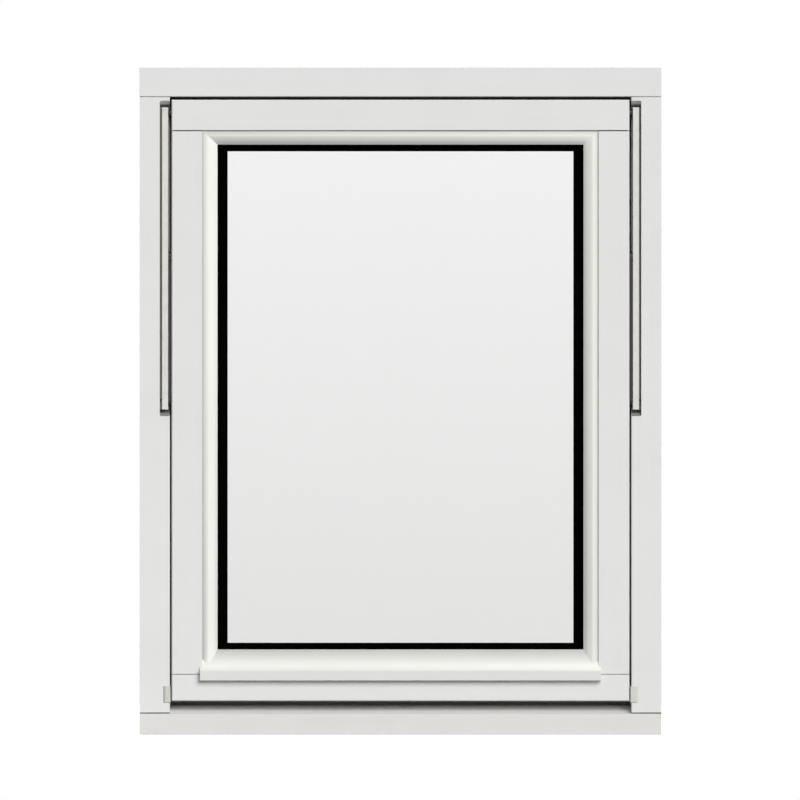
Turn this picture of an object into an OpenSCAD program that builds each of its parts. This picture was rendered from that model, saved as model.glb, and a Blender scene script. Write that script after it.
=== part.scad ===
// Top-guided timber window: a frame and an outward opening sash on sliding hinges.
// The origin is the middle of the frame's underside, +Z is up and the outside faces -Y.

/* [Frame] */
// Width of the frame over both jambs
frame_w = 626; // [560:1:760]
// Height of the frame from its underside to its top
frame_h = 800; // [780:1:960]
// Depth of the frame from the outside to the room side
frame_d = 116; // [110:1:136]
// Face width of the jambs
jamb_face = 36.2; // [34:0.1:44]
// Face height of the head
head_face = 35; // [34:0.5:44]
// Height of the front face of the sill
sill_face = 25.5; // [24:0.5:30]
// Rise of the sloped front of the sill
sill_rise = 9; // [5:0.5:10]
// Depth of the sloped front of the sill
sill_run = 35; // [25:1:45]
// Cover of the stops over the stiles
side_cover = 12; // [10:0.5:14]
// Cover of the head stop over the top rail
head_cover = 18; // [17:0.5:20]
// Cover of the sill stop over the bottom rail
sill_cover = 8; // [7:0.5:8.5]
// Chamfer along the timber edges
arris = 1.2; // [0.6:0.1:1.6]

/* [Sash] */
// Thickness of the sash
sash_d = 58; // [57:0.5:60]
// Gap between a stile and its jamb
side_gap = 2.2; // [1.8:0.1:3]
// Gap between the top rail and the head
top_gap = 3.6; // [3:0.1:5]
// Gap between the bottom rail and the sill's front edge
bottom_gap = 14.5; // [13:0.5:17]
// Gap between the back of the sash and the stops
seal_gap = 5; // [4.6:0.1:6]
// Face width of a stile beside its bead
stile_face = 36.9; // [35:0.1:42]
// Face height of the top rail above its bead
top_rail_face = 37; // [36:0.1:42]
// Face height of the bottom rail below the stile's shoulder
bottom_rail_face = 32; // [30:0.5:34]
// Height of the whole bottom rail up to the sight line
bottom_rail_h = 61.8; // [60:0.1:66]
// Thickness of the inner lip that the glass rests against
lip_t = 13; // [11:0.5:14]

/* [Glazing] */
// Thickness of each pane
pane_t = 4; // [3:0.5:5]
// Cavity between the panes
cavity_t = 16; // [14:0.5:17]
// Thickness of the outer gasket and of the inner tape
seal_t = 3.5; // [3:0.1:4]
// Visible width of the side beads
side_bead_w = 18.1; // [17:0.1:20]
// Visible width of the top bead
top_bead_w = 16.7; // [15:0.1:18]
// Visible width of the black gasket at the sides
side_band = 12.1; // [8:0.1:14]
// Visible width of the black gasket at the top and the bottom
end_band = 8; // [6:0.1:12]
// Height of the sloped face of the bottom bead
bottom_slope_h = 25.5; // [22:0.5:27]
// Height of the straight part of that face, next to the glass
bottom_flat_h = 16; // [14:0.5:17]
// Height of the front of the bottom bead's nose
nose_h = 11.5; // [9:0.5:13]
// Distance of the nose in front of the sash
nose_reach = 8; // [6:0.5:12]
// Length of the nose past the rebate at each end
nose_over = 2.9; // [1:0.1:4]

/* [Hinge] */
// Length of the hinge track
track_l = 362.5; // [330:0.5:368]
// Distance of the track's upper end below the top of the sash
track_drop = 9.1; // [8.2:0.1:10]
// Width of the track as seen from outside
track_w = 7.6; // [7.4:0.1:8.4]
// Depth of the track from front to back
track_d = 18; // [17.5:0.1:19]
// Distance of the pivot line behind the front of the sash
pivot_set = 11.5; // [11.2:0.1:12]
// Depth of the track slot in the jamb
slot_w = 12.1; // [11.8:0.1:13]
// Distance between each end of the track and of its slot
slot_run = 8; // [6:0.5:8.5]
// Width of the hinge arm
arm_w = 14; // [12:0.5:15]
// Thickness of the hinge arm
arm_t = 2.2; // [2:0.1:2.4]
// Radius of the hinge pins
pin_r = 3; // [2.5:0.1:3.2]
// Length of the sliding shoe
shoe_l = 44; // [40:1:60]

/* [Lock] */
// Height of the spindle above the bottom of the sash
spindle_h = 23; // [23:0.25:23.5]
// Distance of the lock's middle in front of the back of the sash
lock_set = 22; // [20:0.5:23]
// Height of the bolts above the bottom of the sash
bolt_h = 7.8; // [7.4:0.1:8]
// Tooth module of the pinion and the racks
tooth_module = 0.9; // [0.85:0.01:0.9]
// Length of the handle lever from the spindle
lever_l = 118; // [90:1:130]
// Distance of the lever's middle from the sash
lever_reach = 42; // [38:1:50]
// Height of each keep
keep_h = 20; // [19:0.5:22]
// Depth of each keep in its jamb
keep_w = 8.2; // [8:0.1:9]
// Distance of each keep in front of its jamb
keep_proud = 1.2; // [0.5:0.1:2]

/* [Hidden] */
$fn = 64;

// Main planes of the frame
front_y = -frame_d / 2;
room_y = frame_d / 2;
half_w = frame_w / 2;
jamb_x = half_w - jamb_face;
head_z = frame_h - head_face;
sill_fall = 0.5;

// Open V between the faces of two members, deeper where the joint stands open
joint_w = 0.7;
joint_d = 3;
open_joint_d = 6;

// Main planes of the sash
sash_x = jamb_x - side_gap;
sash_z0 = sill_face + bottom_gap;
sash_z1 = head_z - top_gap;
back_y = front_y + sash_d;
stop_y = back_y + seal_gap;
stop_x = sash_x - side_cover;
head_stop_z = sash_z1 - head_cover;
sill_stop_z = sash_z0 + sill_cover;

// Rebate and sight lines of the glazing
rebate_x = sash_x - stile_face;
rebate_z = sash_z1 - top_rail_face;
sight_x = rebate_x - side_bead_w;
sight_z1 = rebate_z - top_bead_w;
sight_z0 = sash_z0 + bottom_rail_h;
shoulder_z = sash_z0 + bottom_rail_face;
lip_y = back_y - lip_t;
inner_pane_y = lip_y - seal_t - pane_t;
outer_pane_y = inner_pane_y - cavity_t - pane_t;
bead_back_y = outer_pane_y - seal_t;

// Glass edges and the seats below them
edge_gap = 4;
block_h = 6;
block_l = 100;
block_place_share = 0.65;
glass_bite = 16;
glass_x = rebate_x - edge_gap;
glass_z1 = rebate_z - edge_gap;
glass_z0 = sight_z0 - glass_bite;
bed_z = glass_z0 - block_h;
bed_fall = 5;
sealant_w = 4;
spacer_w = 8;
gasket_bite = 10;
gasket_lip = 1.5;
gasket_foot_t = 1;
tape_inset = 1;
tape_w = 12;

// Bead section: a crest behind the face of the sash, which falls to the rebate and turns down to the glass
bead_inset = 1.6;
crest_share = 0.36;
crest_fall = 1.4;
turn_share = 0.083;
turn_r_share = 0.33;
bead_drop_share = 0.47;
bead_drop = bead_drop_share * (bead_back_y - front_y - bead_inset);
bottom_proud = 0.2;
nose_gap = 1;
nose_corner_r = 4;
drip_w = 2;
drip_in = 2.5;
drip_up = 2.5;
nose_z1 = sight_z0 - bottom_slope_h;
nose_z0 = nose_z1 - nose_h;
nose_y = front_y - nose_reach;

// Face of the bottom bead: a straight slope, then a hollow that runs out to the nose
bottom_tilt = 20;
tilt_ease = 1;
slope_y = front_y + bead_inset + bead_drop - bottom_proud;
hollow_y = slope_y - bottom_flat_h * tan(bottom_tilt);
hollow_z = sight_z0 - bottom_flat_h;
hollow_side = [-cos(bottom_tilt - tilt_ease), sin(bottom_tilt - tilt_ease)];
hollow_span = [nose_y - hollow_y, nose_z1 - hollow_z];
hollow_r = hollow_span * hollow_span / (2 * (hollow_span * hollow_side));
hollow_centre = [hollow_y, hollow_z] + hollow_r * hollow_side;
hollow_out = front_y - hollow_centre.x;
face_z = hollow_centre.y - sqrt(hollow_r * hollow_r - hollow_out * hollow_out);
pin_play = 0.02;
brad_r = 0.7;
brad_head_r = 1.3;
brad_head_t = 0.8;
brad_shares = [0.14, 0.5, 0.86];
brad_in = 4.5;
brad_bite = 12;
brad_l = side_bead_w - brad_in + brad_bite;

// Back edge of the top rail, cut back so that it clears the stop as the sash drops
splay_d = 3;

// Weather seal
seal_groove_w = 3.6;
seal_groove_d = 5;
seal_set = 6;
seal_bulb_r = 2.2;
seal_clear = 0.3;
seal_x = stop_x + seal_set;
seal_z0 = sash_z0 + sill_cover / 2;
seal_flange_w = 6;
seal_flange_t = 1;
seal_bulb_y = back_y + seal_clear + seal_bulb_r;

// Hinge layers, counted from the edge of the sash outwards
plate_t = 2;
plate_sink = 0.5;
plate_w = 18;
plate_fit = 0.15;
arm_gap = 1;
track_gap = 0.9;
face_play = 0.1;
fit_play = 0.05;
loop_play = 0.15;
plate_x = sash_x - plate_sink;
arm_x = sash_x + arm_gap;
track_x = arm_x + arm_t + track_gap;
slot_x = jamb_x + slot_w;
foot_x = track_x + track_w;

// Hinge heights
shoe_pin_drop = 6.4;
pivot_rise = 11;
track_z1 = sash_z1 - track_drop;
track_z0 = track_z1 - track_l;
shoe_z = track_z1 - shoe_pin_drop;
pivot_z = track_z0 + pivot_rise;
arm_l = (shoe_z - pivot_z) / 2;
arm_pin_z = shoe_z - arm_l;
pivot_y = front_y + pivot_set;
slot_z0 = track_z0 - slot_run;
slot_z1 = track_z1 + slot_run;
slot_back = 1.5;
slot_d = pivot_set + track_d / 2 + slot_back;
slot_corner_r = 2;
slot_ramp = 4.5;
slot_ramp_d = 9;
seal_above_splay = 0.5;
seal_z1 = shoe_z + seal_above_splay;

// Track section
track_lip_t = 1.5;
track_mouth = 8;
track_wall = 2.5;
track_floor_t = 1.9;
track_edge = 0.5;
foot_w = 6;
slide_play = 0.3;
floor_x = foot_x - track_floor_t;
screw_r = 1.8;
screw_head_r = 3.6;
track_screw_l = 22;
track_screw_shares = [0.16, 0.5, 0.84];
drive_r = 1.2;
drive_d = 1;

// Pins
pin_head_r = 5;
pin_head_t = 0.5;
collar_r = 6;
pivot_shank_r = 3.5;
plate_end = 7;
plate_tail = 12;
plate_screw_clear = 2;
plate_screw_l = plate_x - rebate_x - brad_bite - plate_screw_clear;
plate_screw_shares = [0.12, 0.4, 0.58, 0.88];

// Shoe
shoe_pin_below_top = 5.4;
brake_r = 2;
brake_drop = 24;
brake_slot_w = 0.8;
brake_slot_d = 0.8;

// Corner joints
dowel_r = 5;
dowel_l = 40;
dowel_in = 18;
dowel_depths = [30, 14];
dowel_x = sash_x - dowel_in;
dowel_ys = [for (depth = dowel_depths) back_y - depth];
bottom_dowel_l = 36;
corner_screw_r = 2.6;
corner_head_r = 5.2;
corner_screw_l = 88;
corner_screw_in = 16;
corner_screw_places = [-20, 34];
corner_screw_x = half_w - corner_screw_in;
corner_screw_ys = [for (place = corner_screw_places) back_y + place];

// Wall fixing holes through the jambs
fixing_r = 3.5;
fixing_head_r = 6.5;
fixing_head_d = 14;
fixing_set = 10;
fixing_y = back_y - fixing_set;
fixing_end = 130;
fixing_zs = [fixing_end, frame_h - fixing_end];

// Lock
lock_y = back_y - lock_set;
spindle_z = sash_z0 + spindle_h;
bolt_z = sash_z0 + bolt_h;
pinion_teeth = 18;
pitch_r = tooth_module * pinion_teeth / 2;
tooth_play = 0.1;
pressure_angle = 20;
base_r = pitch_r * cos(pressure_angle);
tip_r = pitch_r + tooth_module;
dedendum_share = 1.25;
root_r = pitch_r - dedendum_share * tooth_module;
rack_pitch = PI * tooth_module;
rack_back = 3;
rack_t = 5;
rack_near = 2;
rack_far = 7;
throw = pitch_r * PI / 2;
plate_gap = 9;
case_t = 1.5;
case_half = 52;
case_rise = 3;
case_over = 1;
case_z0 = sash_z0 + case_rise;
case_z1 = spindle_z + tip_r + tooth_module + rack_back + case_over;
case_play = 0.5;
post_r = 2.5;
post_x = 48;
post_rise = 4;
hub_r = 5.8;
square_w = 7;
square_play = 0.05;
rod_h = 5;
rod_w = 8;
strap_w = 6;
strap_gap = 4;
bolt_size = [26, 8, 6];
bolt_back = 0.3;
bolt_x = sash_x - bolt_back - bolt_size.x;
bolt_play = 0.6;
face_plate_t = 2.5;
face_plate_w = 16;
groove_w = 10;
groove_h = 11;
face_screw_l = 24;
face_screw_r = 1.6;
face_screw_head_r = 3.1;
face_screw_shares = [0.35, 0.8];
face_screw_xs = [for (share = face_screw_shares) share * sash_x];
rose_h = 26;
rose_w = 64;
rose_t = 9;
rose_edge = 1.5;
neck_r = 8.5;
neck_sink = 3;
lever_r = 8;
lever_end_r = 6.5;
socket_d = 18;
spindle_hole_r = 8;
rose_screw_x = 22;
rose_screw_l = 22;

// Keeps
keep_gap = 0.8;
keep_bevel = 3;
keep_y0 = front_y - keep_proud;
keep_l = 50;
keep_y1 = keep_y0 + keep_l;
keep_z0 = bolt_z - keep_h / 2;
keep_mortise = 4.5;
keep_screw_places = [-20, 10];
keep_screw_ys = [for (place = keep_screw_places) lock_y + place];
keep_screw_l = 22;

PAINT = "#E2E2E0";
BLACK = "#111111";
ZINC = "#CDCDC6";
STEEL = "#B4B7B8";
DARK_STEEL = "#3A3B3D";
WOOD = "#C9A878";

// A section drawn in Y and Z, run along X
module along_x(x0, x1) {
    translate([x0, 0, 0]) rotate([90, 0, 90]) linear_extrude(x1 - x0) children();
}

// A face drawn in X and Z, run along Y
module along_y(y0, y1) {
    translate([0, y1, 0]) rotate([90, 0, 0]) linear_extrude(y1 - y0) children();
}

// A plan drawn in X and Y, run along Z
module along_z(z0, z1) {
    translate([0, 0, z0]) linear_extrude(z1 - z0) children();
}

// A rectangle between two corners
module rect(a0, b0, a1, b1) {
    translate([a0, b0]) square([a1 - a0, b1 - b0]);
}

// A box between two corners
module box(p, q) {
    translate(p) cube(q - p);
}

// A rectangle with round corners
module round_rect(a0, b0, a1, b1, r) {
    rect(a0 + r, b0, a1 - r, b1);
    rect(a0, b0 + r, a1, b1 - r);
    for (a = [a0 + r, a1 - r], b = [b0 + r, b1 - r]) translate([a, b]) circle(r);
}

// A rectangular ring in X and Z, with its own width at the sides and at the ends
module ring(x, z0, z1, side_w, end_w) {
    difference() {
        rect(-x, z0, x, z1);
        rect(-x + side_w, z0 + end_w, x - side_w, z1 - end_w);
    }
}

// The same thing on the right and on the left
module both_sides() {
    children();
    mirror([1, 0, 0]) children();
}

// A countersunk screw from its head at the origin towards +Z
module screw(l, r, head_r, grow = 0) {
    difference() {
        rotate_extrude() polygon([
            [0, -grow], [head_r + grow, -grow], [head_r + grow, 0], [r + grow, head_r - r],
            [r + grow, l - r], [0, l + grow]
        ]);
        if (grow == 0) translate([0, 0, -drive_d]) cylinder(h = 2 * drive_d, r = drive_r, $fn = 6);
    }
}

// A full-width timber plan with chamfered front corners
module bar_plan(x, y0, y1) {
    polygon([
        [-x, y0 + arris], [-x + arris, y0], [x - arris, y0], [x, y0 + arris], [x, y1], [-x, y1]
    ]);
}

// Frame screws through the head and the sill into the jambs
module corner_screw_set(grow) {
    both_sides() for (y = corner_screw_ys) {
        translate([corner_screw_x, y, 0]) screw(corner_screw_l, corner_screw_r, corner_head_r, grow);
        translate([corner_screw_x, y, frame_h]) rotate([180, 0, 0])
            screw(corner_screw_l, corner_screw_r, corner_head_r, grow);
    }
}

// Groove in the stops that takes the stem of the weather seal
module seal_ring(half_width, y0, y1) {
    along_y(y0, y1) difference() {
        rect(-seal_x - half_width, seal_z0 - half_width, seal_x + half_width, seal_z1 + half_width);
        rect(-seal_x + half_width, seal_z0 + half_width, seal_x - half_width, seal_z1 - half_width);
    }
}

module seal_groove() {
    seal_ring(seal_groove_w / 2, stop_y - seal_gap, stop_y + seal_groove_d);
}

module frame_head() {
    color(PAINT) difference() {
        union() {
            along_x(-half_w, half_w) polygon([
                [front_y + joint_d, head_z], [front_y, head_z + joint_w], [front_y, frame_h],
                [room_y, frame_h], [room_y, head_z]
            ]);
            along_x(-stop_x, stop_x) polygon([
                [stop_y, head_stop_z], [stop_y, head_z], [room_y, head_z],
                [room_y, head_stop_z + arris], [room_y - arris, head_stop_z]
            ]);
        }
        corner_screw_set(pin_play);
        seal_groove();
    }
}

module frame_sill() {
    color(PAINT) difference() {
        union() {
            along_x(-half_w, half_w) polygon([
                [front_y, 0], [front_y, sill_face - joint_w], [front_y + open_joint_d, sill_face],
                [room_y, sill_face], [room_y, 0]
            ]);
            along_x(-jamb_x, jamb_x) polygon([
                [front_y + open_joint_d, sill_face], [front_y + sill_run, sill_face + sill_rise],
                [stop_y, sill_face + sill_rise + sill_fall], [stop_y, sill_face]
            ]);
            along_x(-stop_x, stop_x) polygon([
                [stop_y, sill_face], [stop_y, sill_stop_z], [room_y - arris, sill_stop_z],
                [room_y, sill_stop_z - arris], [room_y, sill_face]
            ]);
        }
        corner_screw_set(pin_play);
        seal_groove();
    }
}

// Slot for the hinge track, open to the front and to the sash
module track_slot() {
    intersection() {
        along_x(jamb_x - arris, slot_x) polygon([
            [front_y - arris, slot_z0 - arris], [front_y, slot_z0],
            [front_y + slot_ramp_d, slot_z0 + slot_ramp], [front_y + slot_d, slot_z0 + slot_ramp],
            [front_y + slot_d, slot_z1 - slot_ramp], [front_y + slot_ramp_d, slot_z1 - slot_ramp],
            [front_y, slot_z1], [front_y - arris, slot_z1 + arris]
        ]);
        along_y(front_y - arris, front_y + slot_d)
            round_rect(jamb_x - 2 * slot_w, slot_z0, slot_x, slot_z1, slot_corner_r);
    }
}

// Screws along X at the right jamb or stile, pointing away from the middle
module outward_screw(x, y, z, l, r, head_r, grow) {
    translate([x, y, z]) rotate([0, 90, 0]) screw(l, r, head_r, grow);
}

module track_screw_set(grow) {
    for (share = track_screw_shares)
        outward_screw(
            floor_x, pivot_y, track_z0 + share * track_l, track_screw_l, screw_r, screw_head_r, grow
        );
}

module keep_screw_set(grow) {
    for (y = keep_screw_ys)
        outward_screw(jamb_x - keep_gap, y, bolt_z, keep_screw_l, screw_r, screw_head_r, grow);
}

module fixing_holes() {
    for (z = fixing_zs) translate([jamb_x, fixing_y, z]) rotate([0, 90, 0]) {
        translate([0, 0, -arris]) cylinder(h = jamb_face + 2 * arris, r = fixing_r);
        translate([0, 0, -arris]) cylinder(h = fixing_head_d + arris, r = fixing_head_r);
    }
}

module keep_block() {
    along_y(keep_y0, keep_y1) rect(jamb_x - keep_gap, keep_z0, jamb_x + keep_w, keep_z0 + keep_h);
}

module bolt_path(grow) {
    translate([jamb_x - keep_w, lock_y - bolt_size.y / 2 - grow, bolt_z - bolt_size.z / 2 - grow])
        cube([2 * keep_w + keep_mortise, bolt_size.y + 2 * grow, bolt_size.z + 2 * grow]);
}

module jamb() {
    difference() {
        intersection() {
            along_z(sill_face, head_z) polygon([
                [jamb_x + arris, front_y], [half_w, front_y], [half_w, room_y], [stop_x + arris, room_y],
                [stop_x, room_y - arris], [stop_x, stop_y], [jamb_x, stop_y], [jamb_x, front_y + arris]
            ]);
            along_x(0, half_w) polygon([
                [front_y + open_joint_d, sill_face], [front_y, sill_face + joint_w],
                [front_y, head_z - joint_w], [front_y + joint_d, head_z],
                [room_y - joint_w, head_z], [room_y, head_z - joint_w],
                [room_y, sill_face + joint_w], [room_y - joint_w, sill_face]
            ]);
        }
        track_slot();
        keep_block();
        bolt_path(bolt_play);
        track_screw_set(pin_play);
        keep_screw_set(pin_play);
        fixing_holes();
        corner_screw_set(pin_play);
        seal_groove();
    }
}

module frame_jamb_left() {
    color(PAINT) mirror([1, 0, 0]) jamb();
}

module frame_jamb_right() {
    color(PAINT) jamb();
}

module frame_corner_screws() {
    color(ZINC) corner_screw_set(0);
}

// Stem and flange in the stops, with a bulb against the back of the sash
module weather_seal() {
    color(BLACK) union() {
        seal_ring(seal_groove_w / 2 - pin_play, stop_y - seal_flange_t, stop_y + seal_groove_d - pin_play);
        seal_ring(seal_flange_w / 2, stop_y - seal_flange_t, stop_y);
        for (z = [seal_z0, seal_z1]) {
            translate([-seal_x, seal_bulb_y, z]) rotate([0, 90, 0])
                cylinder(h = 2 * seal_x, r = seal_bulb_r);
            for (x = [-seal_x, seal_x]) translate([x, seal_bulb_y, z]) sphere(seal_bulb_r);
        }
        for (x = [-seal_x, seal_x])
            translate([x, seal_bulb_y, seal_z0]) cylinder(h = seal_z1 - seal_z0, r = seal_bulb_r);
    }
}

// Aluminium track with a T-shaped channel and a foot against the slot's wall
module track() {
    half_d = track_d / 2;
    difference() {
        union() {
            along_z(track_z0, track_z1) polygon([
                [track_x, pivot_y - half_d + track_edge], [track_x + track_edge, pivot_y - half_d],
                [foot_x - track_edge, pivot_y - half_d], [foot_x, pivot_y - half_d + track_edge],
                [foot_x, pivot_y + half_d], [track_x, pivot_y + half_d]
            ]);
            along_z(track_z0, track_z1)
                rect(foot_x - track_edge, pivot_y - foot_w / 2, slot_x, pivot_y + half_d);
        }
        along_z(track_z0 - track_edge, track_z1 + track_edge) {
            rect(track_x - track_edge, pivot_y - track_mouth / 2, floor_x, pivot_y + track_mouth / 2);
            rect(
                track_x + track_lip_t, pivot_y - half_d + track_wall, floor_x, pivot_y + half_d - track_wall
            );
        }
        track_screw_set(pin_play);
        translate([track_x, pivot_y, pivot_z]) rotate([0, 90, 0])
            cylinder(h = slot_x - track_x + track_edge, r = pivot_shank_r + pin_play);
    }
}

module hinge_track_left() {
    color(ZINC) mirror([1, 0, 0]) track();
}

module hinge_track_right() {
    color(ZINC) track();
}

module track_screws() {
    color(STEEL) both_sides() track_screw_set(0);
}

// Shouldered rivet that holds the lower end of an arm on its track
module arm_pivot_pin() {
    arm_back = arm_x + arm_t + face_play;
    translate([0, pivot_y, pivot_z]) rotate([0, 90, 0]) rotate_extrude() polygon([
        [0, arm_x - face_play - pin_head_t], [pin_head_r, arm_x - face_play - pin_head_t],
        [pin_head_r, arm_x - face_play], [pin_r, arm_x - face_play], [pin_r, arm_back],
        [collar_r, arm_back], [collar_r, track_x], [pivot_shank_r, track_x],
        [pivot_shank_r, slot_x - face_play], [0, slot_x - face_play]
    ]);
}

module arm_pivot_pin_left() {
    color(DARK_STEEL) mirror([1, 0, 0]) arm_pivot_pin();
}

module arm_pivot_pin_right() {
    color(DARK_STEEL) arm_pivot_pin();
}

// Keep let into the jamb, with a bevelled front and a hole for the bolt
module keep() {
    difference() {
        intersection() {
            keep_block();
            along_z(keep_z0, keep_z0 + keep_h) polygon([
                [jamb_x - keep_gap, keep_y0], [jamb_x + keep_w - keep_bevel, keep_y0],
                [jamb_x + keep_w, keep_y0 + keep_proud], [jamb_x + keep_w, keep_y1],
                [jamb_x - keep_gap, keep_y1]
            ]);
            along_x(jamb_x - keep_gap, jamb_x + keep_w) polygon([
                [keep_y0 + keep_proud, keep_z0], [keep_y0, keep_z0 + keep_proud],
                [keep_y0, keep_z0 + keep_h - keep_proud / 2], [keep_y0 + keep_proud / 2, keep_z0 + keep_h],
                [keep_y1, keep_z0 + keep_h], [keep_y1, keep_z0]
            ]);
        }
        bolt_path(bolt_play);
        keep_screw_set(pin_play);
    }
}

module keep_left() {
    color(ZINC) mirror([1, 0, 0]) keep();
}

module keep_right() {
    color(ZINC) keep();
}

module keep_screws() {
    color(STEEL) both_sides() keep_screw_set(0);
}

// Dowels in the four corners of the sash
module dowel_set(grow) {
    both_sides() for (y = dowel_ys) {
        translate([dowel_x, y, rebate_z - dowel_l / 2 - grow])
            cylinder(h = dowel_l + 2 * grow, r = dowel_r + grow);
        translate([dowel_x, y, shoulder_z - bottom_dowel_l / 2 - grow])
            cylinder(h = bottom_dowel_l + 2 * grow, r = dowel_r + grow);
    }
}

// Recess for the hinge plate in the edge of the sash
module plate_recess() {
    both_sides() box(
        [plate_x - plate_t, pivot_y - plate_w / 2 - plate_fit, arm_pin_z - plate_tail - plate_fit],
        [sash_x + arris, pivot_y + plate_w / 2 + plate_fit, shoe_z + plate_end + plate_fit]
    );
}

module plate_screw_set(grow) {
    plate_l = shoe_z + plate_end - arm_pin_z + plate_tail;
    for (share = plate_screw_shares)
        translate([plate_x, pivot_y, shoe_z + plate_end - share * plate_l]) rotate([0, -90, 0])
            screw(plate_screw_l, screw_r, screw_head_r, grow);
}

// Brads that hold the beads: along X in the side beads, along Z in the top and bottom beads
module brad_set(grow) {
    bead_y = (front_y + bead_back_y) / 2 + bead_drop / 2;
    for (share = brad_shares) {
        both_sides() translate([sight_x + brad_in, bead_y, sight_z0 + share * (sight_z1 - sight_z0)])
            rotate([0, 90, 0]) brad(grow);
        translate([(2 * share - 1) * sight_x, bead_y, sight_z1 + brad_in]) brad(grow);
        translate([(2 * share - 1) * sight_x, bead_back_y - brad_in, bed_z + 2 * brad_in])
            rotate([180, 0, 0]) brad(grow);
    }
}

module brad(grow) {
    translate([0, 0, -grow]) cylinder(h = brad_l + 2 * grow, r = brad_r + grow);
    translate([0, 0, -grow]) cylinder(h = brad_head_t + 2 * grow, r = brad_head_r + grow);
}

module sash_top_rail() {
    color(PAINT) difference() {
        union() {
            intersection() {
                along_x(-sash_x, sash_x) polygon([
                    [front_y + open_joint_d, rebate_z], [front_y, rebate_z + joint_w],
                    [front_y, sash_z1 - arris], [front_y + arris, sash_z1], [back_y - splay_d, sash_z1],
                    [back_y, shoe_z], [back_y, rebate_z]
                ]);
                along_z(rebate_z, sash_z1) bar_plan(sash_x, front_y, back_y);
            }
            along_x(-sight_x, sight_x) polygon([
                [lip_y, sight_z1], [lip_y, rebate_z], [back_y, rebate_z],
                [back_y, sight_z1 + 2 * arris], [back_y - 2 * arris, sight_z1]
            ]);
        }
        dowel_set(pin_play);
        plate_recess();
        both_sides() plate_screw_set(pin_play);
        brad_set(pin_play);
    }
}

module stile() {
    difference() {
        intersection() {
            along_z(shoulder_z, rebate_z) polygon([
                [rebate_x, front_y], [sash_x - arris, front_y], [sash_x, front_y + arris],
                [sash_x, back_y - arris], [sash_x - arris, back_y], [sight_x + 2 * arris, back_y],
                [sight_x, back_y - 2 * arris], [sight_x, lip_y], [rebate_x, lip_y]
            ]);
            along_x(0, sash_x) polygon([
                [front_y + joint_d, shoulder_z], [front_y, shoulder_z + joint_w],
                [front_y, rebate_z - joint_w], [front_y + open_joint_d, rebate_z],
                [back_y - joint_w, rebate_z], [back_y, rebate_z - joint_w],
                [back_y, shoulder_z + joint_w], [back_y - joint_w, shoulder_z]
            ]);
        }
        dowel_set(pin_play);
        plate_recess();
        plate_screw_set(pin_play);
        brad_set(pin_play);
    }
}

module sash_stile_left() {
    color(PAINT) mirror([1, 0, 0]) stile();
}

module sash_stile_right() {
    color(PAINT) stile();
}

// Mortise, rod groove and face plate rebate in the bottom rail
module lock_room() {
    along_y(lock_y - plate_gap / 2 - case_t - case_play, lock_y + plate_gap / 2 + case_t + case_play)
        rect(-case_half - case_play, sash_z0 - arris, case_half + case_play, case_z1 + case_play);
    along_y(lock_y - groove_w / 2, lock_y + groove_w / 2)
        rect(-sash_x - arris, sash_z0 - arris, sash_x + arris, sash_z0 + groove_h);
    along_y(lock_y - face_plate_w / 2, lock_y + face_plate_w / 2)
        rect(-sash_x - arris, sash_z0 - arris, sash_x + arris, sash_z0 + face_plate_t);
}

module face_screw_set(grow) {
    both_sides() for (x = face_screw_xs) translate([x, lock_y, sash_z0])
        screw(face_screw_l, face_screw_r, face_screw_head_r, grow);
}

module rose_screw_set(grow) {
    both_sides() translate([rose_screw_x, back_y + rose_t, spindle_z]) rotate([90, 0, 0])
        screw(rose_screw_l, screw_r, screw_head_r, grow);
}

module sash_bottom_rail() {
    color(PAINT) difference() {
        union() {
            intersection() {
                along_x(-sash_x, sash_x) polygon([
                    [front_y + arris, sash_z0], [front_y, sash_z0 + arris], [front_y, shoulder_z - joint_w],
                    [front_y + joint_d, shoulder_z], [back_y, shoulder_z], [back_y, sash_z0 + arris],
                    [back_y - arris, sash_z0]
                ]);
                along_z(sash_z0, shoulder_z) bar_plan(sash_x, front_y, back_y);
            }
            along_x(-rebate_x, rebate_x) polygon([
                [front_y, shoulder_z - arris], [front_y, bed_z - bed_fall], [bead_back_y, bed_z],
                [lip_y, bed_z], [lip_y, shoulder_z - arris]
            ]);
            along_x(-sight_x, sight_x) polygon([
                [lip_y, shoulder_z - arris], [lip_y, sight_z0], [back_y - 2 * arris, sight_z0],
                [back_y, sight_z0 - 2 * arris], [back_y, shoulder_z - arris]
            ]);
        }
        dowel_set(pin_play);
        brad_set(pin_play);
        lock_room();
        face_screw_set(pin_play);
        rose_screw_set(pin_play);
        translate([0, lock_y, spindle_z]) rotate([-90, 0, 0])
            cylinder(h = 2 * lock_set, r = spindle_hole_r);
    }
}

module sash_corner_dowels() {
    color(WOOD) dowel_set(0);
}

// Section of a bead from the rebate line towards the glass, with its depth upwards
module bead_section(w) {
    depth = bead_back_y - front_y - bead_inset;
    crest = crest_share * w;
    outer_r = (crest * crest + crest_fall * crest_fall) / (2 * crest_fall);
    turn = crest + turn_share * w;
    turn_r = turn_r_share * w;
    lean = (turn - crest) / turn_r;
    upright = sqrt(1 - lean * lean);
    turn_drop = turn_r * (1 - upright);
    run = [w - turn, bead_drop - turn_drop];
    inner_r = run * run / (2 * (upright * run.y - lean * run.x));
    intersection() {
        rect(0, 0, crest, depth);
        translate([crest, outer_r]) circle(outer_r, $fn = 128);
    }
    intersection() {
        rect(crest, 0, turn, depth);
        union() {
            translate([crest, turn_r]) circle(turn_r);
            rect(crest, turn_r, turn, depth);
        }
    }
    intersection() {
        rect(turn, 0, w, depth);
        translate([turn, turn_drop] + inner_r * [-lean, upright]) circle(inner_r, $fn = 128);
    }
}

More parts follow.
